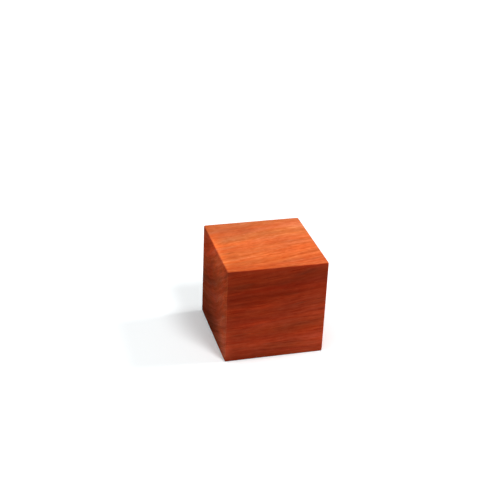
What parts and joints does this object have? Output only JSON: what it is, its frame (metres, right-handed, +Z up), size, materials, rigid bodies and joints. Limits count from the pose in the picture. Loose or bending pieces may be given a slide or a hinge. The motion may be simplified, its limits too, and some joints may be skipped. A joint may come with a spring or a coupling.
{
  "type": "wooden cube",
  "caption": "Plain solid hardwood cube with flat sanded faces and lightly eased edges and corners; stands, stacks or is glued on any face.",
  "frame": {"origin": "centre of the bottom face, on the surface that the block stands on", "axes": "+Z up; X along the grain, so the end-grain faces look along +X and -X; Y across the grain"},
  "size_m": [0.05, 0.05, 0.05],
  "materials": {
    "oiled_hardwood": "orange-red hardwood, sanded smooth and oiled to a low satin; long grain on four faces, end grain on the two that look along X"
  },
  "bodies": {
    "root": {"wood_cube": "oiled_hardwood"}
  },
  "joints": []
}
